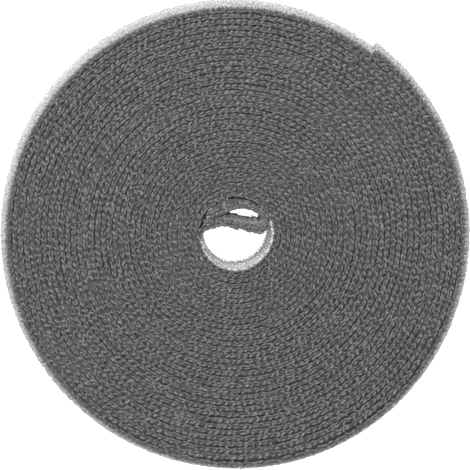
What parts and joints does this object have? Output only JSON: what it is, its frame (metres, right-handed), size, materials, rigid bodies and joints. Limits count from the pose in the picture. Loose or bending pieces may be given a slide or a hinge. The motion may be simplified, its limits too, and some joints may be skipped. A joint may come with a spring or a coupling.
{
  "type": "hook and loop cable tie roll",
  "caption": "flat roll of back-to-back hook and loop strap for tying cables, wound on itself with no core, hooks inside and loops outside, its inner end folded twice across the open eye",
  "frame": {"origin": "on the surface that the roll lies on, under the middle of its box", "axes": "+Z is the roll's axis and the strap's width, up from the surface it lies on. +X and +Y are the right and the top of the roll seen from above, where the strap runs inwards clockwise from a free end at the upper right"},
  "size_m": [0.0826, 0.0818, 0.016],
  "materials": {
    "loop_fabric": "knitted nylon, matt, with a soft light grey pile of loops and a dark grey edge",
    "hook_tape": "light grey nylon hooks standing on a woven tape with a dark grey edge"
  },
  "bodies": {
    "root": {"loop_fabric": "loop_fabric", "hook_tape": "hook_tape"}
  },
  "joints": []
}
